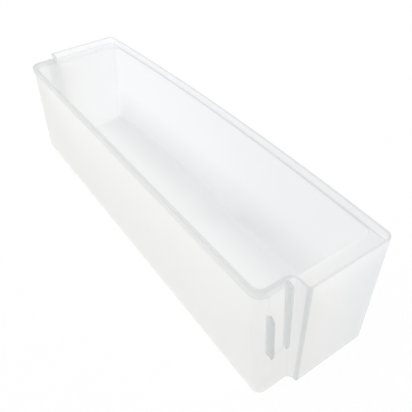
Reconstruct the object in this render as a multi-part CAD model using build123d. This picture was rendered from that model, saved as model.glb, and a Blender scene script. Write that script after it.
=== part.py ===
from build123d import *
import os
from math import radians, sqrt, tan

# A fridge door shelf, moulded in one piece from clear frosted plastic.
# The narrow trough at the back goes between the side walls of the door, and the wider
# bowed front covers their edges with a shoulder and a hollow ear at each end.
# X runs along the shelf, -Y is the front, +Z is up, in millimetres and degrees.
# The origin is on the underside, in the middle of the length and of the depth.

# Outline at the rim
height = 103.0
fascia_length = 424.0
ear_reach = 14.0
corner_depth = 106.0
front_bow = 6.5
shoulder_depth = 29.5
ear_clearance = 3.5

# Walls, and how far they lean inwards going down
wall = 2.4
front_wall = 2.8
floor_thickness = 2.6
trough_draft = 0.6
fascia_draft = 5.0

# Rim: a band that stands proud behind the guide ribs, and a ledge inside the front and the ears
rim_wall = 1.8
rim_depth = 7.5
band_height = 5.6
band_proud = 1.2

# Rounded corners and edges
rear_corner_radius = 9.6
front_corner_radius = 7.0
shoulder_radius = 4.0
ear_edge_radius = 1.0
floor_radius = 4.5
foot_radius = 3.0
rim_edge_bevel = 0.5

# Lug channel on each end of the trough: a hook rib behind, a guide rib in front, a seat between
rib_thickness = 2.4
channel_width = 11.3
hook_from_rear = 8.8
hook_bottom = 43.0
hook_length = 36.5
hook_reach = 4.0
hook_nose_radius = 4.0
guide_bottom = 42.0
guide_below_rim = 1.5
guide_reach = 5.4
guide_draft = 2.0
guide_nose_radius = 2.0
seat_bottom = 39.0
seat_corner_radius = 4.0

# Worked out from the sizes above
rear_y = (corner_depth + front_bow) / 2
shoulder_y = rear_y - shoulder_depth
half_fascia = fascia_length / 2
half_trough = half_fascia - ear_reach
bow_radius = (half_fascia ** 2 + front_bow ** 2) / (2 * front_bow)
bow_centre_y = rear_y - corner_depth - front_bow + bow_radius
ledge_z = height - rim_depth
band_z = height - band_height
ear_roof_z = ledge_z - wall
trough_inset = band_proud + wall
inner_corner_radius = rear_corner_radius - trough_inset
hook_y = rear_y - hook_from_rear
guide_y = hook_y - rib_thickness - channel_width
guide_middle_y = guide_y - rib_thickness / 2
seat_rear_y = hook_y - rib_thickness / 2
overrun = 1.0
touch = 0.01
upright = 0.9


def lean(z_fixed, z, angle):
    """How far a face that leans inwards going down from z_fixed has moved at z."""
    return (z_fixed - z) * tan(radians(angle))


def front_y(x, inset):
    """Y of the bowed front at x, on an arc moved inwards by inset."""
    return bow_centre_y - sqrt((bow_radius - inset) ** 2 - x ** 2)


def corners_at(plan, x, y):
    """The two corners of a plan that mirror each other at +-x and y."""
    return [v for v in plan.vertices() if abs(abs(v.X) - x) < touch and abs(v.Y - y) < touch]


def drafted(faces, z_fixed, angle):
    """The solid of some upright faces, with them leaned inwards going down from z_fixed."""
    return draft(faces, Plane((0, 0, z_fixed), z_dir=(0, 0, -1)), angle)


def upright_faces(solid, y_low, y_high):
    """The upright faces of a solid whose middle lies between two depths."""
    return solid.faces().filter_by(
        lambda f: abs(f.normal_at(f.center()).Z) < touch and y_low < f.center().Y < y_high
    )


def tee_plan(z, trough_step, inset):
    """Plan of the whole shelf: narrow trough behind, wider bowed front, all moved inwards by inset."""
    x_trough = half_trough - trough_step - inset
    x_fascia = half_fascia - inset
    y_rear = rear_y - trough_step - inset
    y_shoulder = shoulder_y - inset
    y_corner = front_y(x_fascia, inset)
    with BuildSketch(Plane.XY.offset(z)) as plan:
        with BuildLine():
            Polyline(
                (-x_fascia, y_corner), (-x_fascia, y_shoulder), (-x_trough, y_shoulder), (-x_trough, y_rear),
                (x_trough, y_rear), (x_trough, y_shoulder), (x_fascia, y_shoulder), (x_fascia, y_corner),
            )
            ThreePointArc((x_fascia, y_corner), (0, front_y(0, inset)), (-x_fascia, y_corner))
        make_face()
        fillet(corners_at(plan, x_trough, y_rear), rear_corner_radius - trough_step - inset)
        fillet(corners_at(plan, x_trough, y_shoulder), shoulder_radius + trough_step + inset)
    return plan.sketch


def trough_plan(z):
    """Plan of the space inside the trough, with its front corners still square."""
    x_end = half_trough - trough_inset
    y_rear = rear_y - trough_inset
    y_corner = front_y(x_end, front_wall)
    with BuildSketch(Plane.XY.offset(z)) as plan:
        with BuildLine():
            Polyline((-x_end, y_corner), (-x_end, y_rear), (x_end, y_rear), (x_end, y_corner))
            ThreePointArc((x_end, y_corner), (0, front_y(0, front_wall)), (-x_end, y_corner))
        make_face()
        fillet(corners_at(plan, x_end, y_rear), inner_corner_radius)
    return plan.sketch


def ear_plan(z):
    """Plan of the hollow inside the right ear at a height."""
    fascia_in = lean(height, z, fascia_draft)
    x_inner = half_trough - band_proud - lean(height, z, trough_draft)
    x_outer = half_fascia - fascia_in - wall
    y_rear = shoulder_y - lean(height, z, trough_draft) - wall
    y_front = front_y(x_outer, fascia_in + front_wall)
    with BuildSketch(Plane.XY.offset(z)) as plan:
        with BuildLine():
            Polyline((x_inner, y_front), (x_inner, y_rear), (x_outer, y_rear),
                     (x_outer, y_front), close=True)
        make_face()
    return plan.sketch


def under_plan(z):
    """Plan of the space under the right ear, from the end of the trough outwards."""
    x_inner = half_trough - band_proud - lean(height, z, trough_draft)
    y_rear = shoulder_y + shoulder_radius + wall
    with BuildSketch(Plane.XY.offset(z)) as plan:
        with BuildLine():
            Polyline((x_inner, -rear_y), (x_inner, y_rear), (half_fascia, y_rear),
                     (half_fascia, -rear_y), close=True)
        make_face()
    return plan.sketch


def upright_edges(solid, x, y):
    """The upright edges of a solid whose middles lie near +-x and y."""
    return solid.edges().filter_by(
        lambda e: abs(abs(e.center().X) - x) < wall and abs(e.center().Y - y) < wall
        and abs(e.tangent_at(0.5).Z) > upright
    )


def outer_body():
    """The outside as a full solid: drafted body, rounded foot and corners, rim band."""
    body = extrude(tee_plan(0, band_proud, 0), height)
    body = drafted(upright_faces(body, -corner_depth, shoulder_y - touch), height, fascia_draft)
    body = drafted(upright_faces(body, shoulder_y - touch, corner_depth), height, trough_draft)
    clear = ear_underspace()
    body -= clear + mirror(clear, about=Plane.YZ)
    body = fillet(body.edges().group_by(Axis.Z)[0], foot_radius)
    middle_in = lean(height, height / 2, fascia_draft)
    x_middle = half_fascia - middle_in
    body = fillet(upright_edges(body, x_middle, front_y(x_middle, middle_in)), front_corner_radius)
    return fillet(upright_edges(body, x_middle, shoulder_y), ear_edge_radius) + rim_band()


def rim_band():
    """The band of the rim, from one guide rib round the back to the other, as a full solid."""
    band = extrude(tee_plan(band_z, 0, 0), band_height)
    return split(band, Plane((0, guide_middle_y, 0), z_dir=(0, 1, 0)), keep=Keep.TOP)


def trough_space():
    """The space inside the trough, rounded along the floor."""
    space = extrude(trough_plan(floor_thickness), ledge_z - floor_thickness)
    y_corner = front_y(half_trough, front_wall)
    space = drafted(upright_faces(space, -corner_depth, y_corner), height, fascia_draft)
    space = drafted(upright_faces(space, y_corner, corner_depth), ledge_z, trough_draft)
    z_middle = (floor_thickness + ledge_z) / 2
    x_middle = half_trough - trough_inset - lean(ledge_z, z_middle, trough_draft)
    y_middle = front_y(x_middle, front_wall + lean(height, z_middle, fascia_draft))
    space = fillet(upright_edges(space, x_middle, y_middle), inner_corner_radius)
    return fillet(space.edges().group_by(Axis.Z)[0], floor_radius)


def rim_space():
    """The space inside the rim, over the ledge and both ears."""
    space = extrude(tee_plan(ledge_z, trough_inset - rim_wall, rim_wall), rim_depth)
    space = drafted(upright_faces(space, -corner_depth, shoulder_y - rim_wall - touch), height, fascia_draft)
    x_rim = half_fascia - rim_wall
    return fillet(upright_edges(space, x_rim, front_y(x_rim, rim_wall)), front_corner_radius - rim_wall)


def ear_underspace():
    """The space under the right ear, which ends a little above the floor."""
    return loft([under_plan(-overrun), under_plan(ear_clearance)], ruled=True)


def ear_space():
    """The hollow inside the right ear, open at the bottom."""
    return loft([ear_plan(-overrun), ear_plan(ear_roof_z)], ruled=True)


def rib(rear, bottom, top, reach_bottom, reach_top, nose_radius):
    """A rib on the right end of the trough, with its rear face at rear and a rounded top."""
    x_root = half_trough - band_proud - lean(height, bottom, trough_draft) - wall / 2
    with BuildSketch(Plane.XZ.offset(-rear)) as profile:
        with BuildLine():
            Polyline((x_root, bottom), (half_trough + reach_bottom, bottom),
                     (half_trough + reach_top, top), (x_root, top), close=True)
        make_face()
        fillet(max(profile.vertices(), key=lambda v: v.X + v.Z), nose_radius)
    return extrude(profile.sketch, rib_thickness)


def lug_seat():
    """The raised seat between the ribs, level with the rim band and rounded at its lower front corner."""
    x_root = half_trough - band_proud - lean(height, seat_bottom, trough_draft) - wall / 2
    with BuildSketch(Plane.YZ.offset(x_root)) as outline:
        with BuildLine():
            Polyline((seat_rear_y, seat_bottom), (guide_y, seat_bottom), (guide_y, band_z),
                     (seat_rear_y, band_z), close=True)
        make_face()
        fillet(min(outline.vertices(), key=lambda v: v.Y + v.Z), seat_corner_radius)
    return extrude(outline.sketch, half_trough - x_root)


def lug_channel():
    """Hook rib, guide rib and seat of the right end."""
    guide_top = height - guide_below_rim
    guide_foot_reach = guide_reach - lean(guide_top, guide_bottom, guide_draft)
    hook = rib(hook_y, hook_bottom, hook_bottom + hook_length, hook_reach, hook_reach, hook_nose_radius)
    guide = rib(guide_y, guide_bottom, guide_top, guide_foot_reach, guide_reach, guide_nose_radius)
    return hook + guide + lug_seat()


def door_shelf():
    """The whole shelf."""
    channel = lug_channel()
    ear = ear_space()
    shelf = outer_body() + channel + mirror(channel, about=Plane.YZ)
    shelf -= trough_space()
    shelf -= rim_space()
    shelf -= ear + mirror(ear, about=Plane.YZ)
    return chamfer(shelf.edges().group_by(Axis.Z)[-1], rim_edge_bevel)


os.makedirs("parts", exist_ok=True)
shelf = door_shelf()
export_step(shelf, "parts/door_shelf.step")
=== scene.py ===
from functools import reduce
from math import radians, tan

import bpy
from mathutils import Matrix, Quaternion, Vector


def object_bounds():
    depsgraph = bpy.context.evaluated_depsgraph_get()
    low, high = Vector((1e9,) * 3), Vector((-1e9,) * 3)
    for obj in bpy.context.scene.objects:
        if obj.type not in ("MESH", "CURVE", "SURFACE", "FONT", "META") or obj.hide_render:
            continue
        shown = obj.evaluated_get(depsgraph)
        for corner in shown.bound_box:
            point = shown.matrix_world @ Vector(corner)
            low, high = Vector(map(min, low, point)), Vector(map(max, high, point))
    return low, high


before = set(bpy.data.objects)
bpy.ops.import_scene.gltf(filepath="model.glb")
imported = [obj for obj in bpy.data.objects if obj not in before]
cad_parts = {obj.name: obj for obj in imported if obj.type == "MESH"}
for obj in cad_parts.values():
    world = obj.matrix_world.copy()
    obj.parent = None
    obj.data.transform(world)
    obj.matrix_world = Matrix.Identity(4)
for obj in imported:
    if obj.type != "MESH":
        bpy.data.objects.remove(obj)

cad_low, cad_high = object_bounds()

# Camera, at the photograph's viewing angle
CAMERA_PLACE = Vector((-0.3816, 0.2045, 0.3764))
CAMERA_TARGET = Vector((0.013, -0.0512, 0.1064))
CAMERA_ROLL = radians(-2.75)
CAMERA_LENS = 50.06
CAMERA_SHIFT_Y = -0.2626

# Wall colour, from the cooler front to the warmer rear, with faint clouds
FRONT_COLOUR = (0.983, 0.986, 0.992, 1.0)
REAR_COLOUR = (0.989, 0.989, 0.981, 1.0)
CLOUD_SCALE = 14.0
CLOUD_DETAIL = 3.0
CLOUD_SHARE = 0.3

# Painted shade: a greyer colour that stands in for light lost in thick plastic, shade in tucked-in
# places and at the ends, and the shadow along the front fold, and how much of it each place takes
PAINTED_SHADE_COLOUR = (0.840, 0.847, 0.855, 1.0)
TOP_SHARE = 0.6
BAND_SHARE = 0.4
LEDGE_SHARE = 0.6
GUIDE_SHARE = 0.4
HOOK_SHARE = 0.75
EAR_CORNER_SHARE = 0.7
# painted shadow along the front fold
FOLD_SHADOW_SHARE = 0.48
# painted shade, greyer towards each end
END_SHADE_SHARE = 0.2

# Painted shade lines of that colour along the edges, and how much of them two places lose
EDGE_WIDTH = 0.0025
EDGE_SAMPLES = 8
EDGE_COSINE = (0.985, 0.85)
SEAT_EDGE_LOSS = 0.55
EAR_LEDGE_EDGE_LOSS = 1.0

# How the plastic passes and reflects light
THROUGH_SHARE = 0.85
CLEAR_SHARE = 0.2
PLASTIC_IOR = 1.49
ROUGHNESS_RANGE = (0.18, 0.22)
FROST_SCALE = 1400.0
FROST_DETAIL = 2.0
FROST_HEIGHT = 0.00004

# Places on the shelf, in metres: both ends are alike, so x counts from the middle of the length
TOP_Z = cad_high.z - 0.0006
BAND_Z = cad_high.z - 0.0056
TROUGH_X = cad_high.x - 0.0200
LEDGE_Y = 0.0
LEDGE_Z = (cad_high.z - 0.0083, cad_high.z - 0.0067)
EAR_LEDGE_Y = (cad_low.y + 0.0122, cad_high.y - 0.0295)
EAR_CORNER_X = cad_high.x - 0.0026
EAR_CORNER_Y = cad_high.y - 0.0324
EAR_LEAN = tan(radians(5.0))
RIB_X = cad_high.x - 0.0154
HOOK_Y = cad_high.y - 0.0114
HOOK_TOP_Z = cad_low.z + 0.0797
GUIDE_X = cad_high.x - 0.0138
GUIDE_Y = cad_high.y - 0.0275
END_X = (cad_high.x - 0.0250, cad_high.x - 0.0155)
FOLD_Y = (cad_low.y + 0.0482, cad_low.y + 0.0202)
FOLD_Z = cad_low.z + 0.0045
FOLD_FADE_Z = (cad_low.z - 0.0040, cad_low.z + 0.0450)

# Floor, just under the shelf
FLOOR_SIZE = 6.0
FLOOR_DROP = 0.0003
FLOOR_COLOUR = (0.95, 0.95, 0.95, 1.0)
FLOOR_WHITE_SHARE = 0.82
FLOOR_GLOW = 1.05

# Light: a white world, dimmest on the side of the near end, and the place and power of each lamp
WORLD_COLOUR = (1.0, 1.0, 1.0, 1.0)
WORLD_STRENGTH = (0.60, 0.86)
LAMPS = {
    "key": (Vector((0.5, 1.0, 1.6)), 2.0),
    "back": (Vector((1.6, -1.0, 0.3)), 7.0),
}
LAMP_SIZE = 1.4
LIGHT_BOUNCES = 24

# Sockets of a mix node that mixes two colours
MIX_SHARE, MIX_FIRST, MIX_SECOND, MIX_RESULT = 0, 6, 7, 2


def feed(tree, socket, value):
    """Links another node's output to an input socket, or sets the socket to a plain value."""
    if isinstance(value, bpy.types.NodeSocket):
        tree.links.new(value, socket)
    else:
        socket.default_value = value


def node(tree, kind, **inputs):
    """A new shader node, with its inputs given by name."""
    made = tree.nodes.new(kind)
    for name, value in inputs.items():
        feed(tree, made.inputs[name.replace("_", " ")], value)
    return made


def result(tree, kind, **inputs):
    """The first output of a new shader node."""
    return node(tree, kind, **inputs).outputs[0]


def maths(tree, operation, *values):
    """The result of an operation on one to three values."""
    step = tree.nodes.new("ShaderNodeMath")
    step.operation = operation
    for socket, value in zip(step.inputs, values):
        feed(tree, socket, value)
    return step.outputs["Value"]


def largest(tree, *values):
    """The largest of some values."""
    return reduce(lambda first, second: maths(tree, "MAXIMUM", first, second), values)


def product(tree, *values):
    """Some values multiplied together."""
    return reduce(lambda first, second: maths(tree, "MULTIPLY", first, second), values)


def scaled(tree, value, low, high, low_out=0.0, high_out=1.0):
    """A value moved from the range low..high to the range low_out..high_out, and kept in it."""
    return result(tree, "ShaderNodeMapRange", Value=value, From_Min=low, From_Max=high,
                  To_Min=low_out, To_Max=high_out)


def above(tree, value, limit):
    """1 where a value is over a limit, and 0 elsewhere."""
    return maths(tree, "GREATER_THAN", value, limit)


def below(tree, value, limit):
    """1 where a value is under a limit, and 0 elsewhere."""
    return maths(tree, "LESS_THAN", value, limit)


def between(tree, value, low, high):
    """1 where a value is between two limits, and 0 elsewhere."""
    return maths(tree, "COMPARE", value, (low + high) / 2, (high - low) / 2)


def mixed(tree, share, *shaders):
    """A mix of two shaders, with a share of the second."""
    mix = node(tree, "ShaderNodeMixShader", Fac=share)
    for socket, shader in zip(mix.inputs[1:], shaders):
        feed(tree, socket, shader)
    return mix.outputs["Shader"]


def empty_tree(owner):
    """The node tree of a material or world, with nothing in it."""
    owner.use_nodes = True
    owner.node_tree.nodes.clear()
    return owner.node_tree


def added(name, data):
    """A new object in the scene."""
    thing = bpy.data.objects.new(name, data)
    bpy.context.scene.collection.objects.link(thing)
    return thing


def aim(thing, target, roll=0.0):
    """Turns a lamp or camera towards a point."""
    thing.rotation_mode = "QUATERNION"
    turn = (target - thing.location).to_track_quat("-Z", "Y")
    thing.rotation_quaternion = turn @ Quaternion((0.0, 0.0, 1.0), roll)


def shelf_axes(tree, place):
    """How far a point is from the middle of the length, and its y and z."""
    x, y, z = node(tree, "ShaderNodeSeparateXYZ", Vector=place).outputs
    return maths(tree, "ABSOLUTE", x), y, z


def by_hooks(tree, x, y):
    """1 outside the ends, from the hook ribs backwards, and 0 elsewhere."""
    return product(tree, above(tree, x, RIB_X), above(tree, y, HOOK_Y))


def front_fold_shadow(tree, y, z):
    """The painted shadow along the front fold: 1 where the front meets the floor, and less going up
    the front and back along the floor.
    """
    below_it, above_it = (scaled(tree, z, faded, FOLD_Z) for faded in FOLD_FADE_Z)
    return product(tree, maths(tree, "MINIMUM", below_it, above_it), scaled(tree, y, *FOLD_Y))


def painted_shade_places(tree, x, y, z):
    """Painted shade, by place: 0 in the walls, and more in the rim, ledge, ribs, ears' rear corners,
    front fold and ends.
    """
    drop = maths(tree, "SUBTRACT", cad_high.z, z)
    ear_x = maths(tree, "MULTIPLY_ADD", drop, EAR_LEAN, x)
    inside_ends = below(tree, x, TROUGH_X)
    rear_of_ears = above(tree, y, EAR_CORNER_Y)
    rear_of_guides = above(tree, y, GUIDE_Y)
    front_inside = product(tree, inside_ends, below(tree, y, LEDGE_Y))
    # painted shade in thick and tucked-in places: rim, band, ledge, ribs, ear corners
    deepest_painted_shade = largest(
        tree,
        product(tree, TOP_SHARE, above(tree, z, TOP_Z)),
        product(tree, BAND_SHARE, rear_of_guides, above(tree, z, BAND_Z)),
        product(tree, LEDGE_SHARE, front_inside, between(tree, z, *LEDGE_Z)),
        product(tree, GUIDE_SHARE, rear_of_guides, above(tree, x, GUIDE_X)),
        product(tree, HOOK_SHARE, by_hooks(tree, x, y), below(tree, z, HOOK_TOP_Z)),
        product(tree, EAR_CORNER_SHARE, rear_of_ears, above(tree, ear_x, EAR_CORNER_X)),
        # painted shadow along the front fold
        product(tree, FOLD_SHADOW_SHARE, inside_ends, front_fold_shadow(tree, y, z)),
    )
    # painted shade, greyer towards each end
    ends = product(tree, END_SHADE_SHARE, rear_of_ears, scaled(tree, x, *END_X))
    return maths(tree, "ADD", deepest_painted_shade, ends)


def lost_edges(tree, x, y, z):
    """How much of its painted shade line an edge loses on the seats above the hooks and along the
    ears' ledges.
    """
    ear_ledge = product(tree, between(tree, x, TROUGH_X, RIB_X), between(tree, y, *EAR_LEDGE_Y))
    return largest(
        tree,
        product(tree, SEAT_EDGE_LOSS, by_hooks(tree, x, y), between(tree, z, HOOK_TOP_Z, BAND_Z)),
        product(tree, EAR_LEDGE_EDGE_LOSS, ear_ledge, between(tree, z, *LEDGE_Z)),
    )


def near_edges(tree):
    """0 on a face, and up to 1 towards its edges."""
    rounded = node(tree, "ShaderNodeBevel", Radius=EDGE_WIDTH)
    rounded.samples = EDGE_SAMPLES
    face = tree.nodes.new("ShaderNodeNewGeometry")
    turn = tree.nodes.new("ShaderNodeVectorMath")
    turn.operation = "DOT_PRODUCT"
    for socket, surface in zip(turn.inputs, (rounded, face)):
        feed(tree, socket, surface.outputs["Normal"])
    return scaled(tree, turn.outputs["Value"], *EDGE_COSINE)


def plastic_colour_and_shade(tree, axes, cloud):
    """The wall colour with its clouds, with painted shade in thick places and along edges."""
    _, y, _ = axes
    depth = scaled(tree, y, cad_low.y, cad_high.y)
    clouds = scaled(tree, cloud, 0.0, 1.0, -CLOUD_SHARE, CLOUD_SHARE)
    wall = node(tree, "ShaderNodeValToRGB", Fac=maths(tree, "ADD", depth, clouds))
    for stop, colour in zip(wall.color_ramp.elements, (FRONT_COLOUR, REAR_COLOUR)):
        stop.color = colour
    # painted shade lines along the edges, less of them in two places
    edges = maths(tree, "SUBTRACT", near_edges(tree), lost_edges(tree, *axes))
    mix = tree.nodes.new("ShaderNodeMix")
    mix.data_type = "RGBA"
    feed(tree, mix.inputs[MIX_SHARE], largest(tree, painted_shade_places(tree, *axes), edges))
    feed(tree, mix.inputs[MIX_FIRST], wall.outputs["Color"])
    feed(tree, mix.inputs[MIX_SECOND], PAINTED_SHADE_COLOUR)
    return mix.outputs[MIX_RESULT]


def frosted_plastic():
    """Translucent plastic with a glossy skin that is finely frosted."""
    material = bpy.data.materials.new("frosted_plastic")
    tree = empty_tree(material)
    place = tree.nodes.new("ShaderNodeTexCoord").outputs["Object"]
    cloud = result(tree, "ShaderNodeTexNoise", Vector=place, Scale=CLOUD_SCALE, Detail=CLOUD_DETAIL)
    frost = result(tree, "ShaderNodeTexNoise", Vector=place, Scale=FROST_SCALE, Detail=FROST_DETAIL)
    bump = result(tree, "ShaderNodeBump", Height=frost, Distance=FROST_HEIGHT)
    roughness = scaled(tree, cloud, 0.0, 1.0, *ROUGHNESS_RANGE)
    colour = plastic_colour_and_shade(tree, shelf_axes(tree, place), cloud)
    skin = result(tree, "ShaderNodeBsdfPrincipled", Base_Color=colour, Roughness=roughness,
                  IOR=PLASTIC_IOR, Normal=bump)
    through = result(tree, "ShaderNodeBsdfTranslucent", Color=colour)
    clear = result(tree, "ShaderNodeBsdfTransparent", Color=colour)
    frosted = mixed(tree, THROUGH_SHARE, skin, through)
    node(tree, "ShaderNodeOutputMaterial", Surface=mixed(tree, CLEAR_SHARE, frosted, clear))
    return material


def dress_shelf():
    """Gives the shelf its frosted plastic."""
    plastic = frosted_plastic()
    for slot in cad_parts["door_shelf"].material_slots:
        slot.material = plastic


def background_rays(tree):
    """1 for rays that show the background, directly or by way of the plastic, and 0 for the others."""
    path = tree.nodes.new("ShaderNodeLightPath").outputs
    return largest(tree, path["Is Camera Ray"], path["Is Glossy Ray"], path["Is Transmission Ray"])


def floor_white():
    """White that glows where it is seen, and still takes a faint shadow."""
    material = bpy.data.materials.new("floor_white")
    tree = empty_tree(material)
    paint = result(tree, "ShaderNodeBsdfDiffuse", Color=FLOOR_COLOUR)
    glow = result(tree, "ShaderNodeEmission", Strength=FLOOR_GLOW)
    share = product(tree, background_rays(tree), FLOOR_WHITE_SHARE)
    node(tree, "ShaderNodeOutputMaterial", Surface=mixed(tree, share, paint, glow))
    return material


def add_floor():
    """A plain square floor."""
    mesh = bpy.data.meshes.new("floor")
    half = FLOOR_SIZE / 2
    corners = [(-half, -half), (half, -half), (half, half), (-half, half)]
    mesh.from_pydata([(x, y, cad_low.z - FLOOR_DROP) for x, y in corners], [], [(0, 1, 2, 3)])
    mesh.materials.append(floor_white())
    floor = added("floor", mesh)


def add_world():
    """White all round: full white where it is seen, and dimmer as light."""
    world = bpy.data.worlds.new("studio")
    bpy.context.scene.world = world
    tree = empty_tree(world)
    direction = tree.nodes.new("ShaderNodeTexCoord").outputs["Generated"]
    along = node(tree, "ShaderNodeSeparateXYZ", Vector=direction).outputs["X"]
    light = scaled(tree, along, -1.0, 1.0, *WORLD_STRENGTH)
    strength = largest(tree, background_rays(tree), light)
    white = result(tree, "ShaderNodeBackground", Color=WORLD_COLOUR, Strength=strength)
    node(tree, "ShaderNodeOutputWorld", Surface=white)


def add_lamp(name, place, power):
    """A large soft lamp that shines on the shelf."""
    light = bpy.data.lights.new(name, "AREA")
    light.size = LAMP_SIZE
    light.energy = power
    lamp = added(name, light)
    lamp.location = place
    aim(lamp, (cad_low + cad_high) / 2)


def add_camera():
    """The camera at the photograph's place."""
    lens = bpy.data.cameras.new("camera")
    lens.lens = CAMERA_LENS
    lens.shift_y = CAMERA_SHIFT_Y
    camera = added("camera", lens)
    camera.location = CAMERA_PLACE
    aim(camera, CAMERA_TARGET, CAMERA_ROLL)
    bpy.context.scene.camera = camera


def set_rendering(scene):
    """Colours as they are written, and enough bounces to pass through many translucent walls."""
    scene.view_settings.view_transform = "Standard"
    scene.cycles.max_bounces = 2 * LIGHT_BOUNCES
    scene.cycles.diffuse_bounces = LIGHT_BOUNCES
    scene.cycles.glossy_bounces = LIGHT_BOUNCES
    scene.cycles.transmission_bounces = LIGHT_BOUNCES


dress_shelf()
add_floor()
add_world()
for lamp_name, (lamp_place, lamp_power) in LAMPS.items():
    add_lamp(lamp_name, lamp_place, lamp_power)
add_camera()
set_rendering(bpy.context.scene)
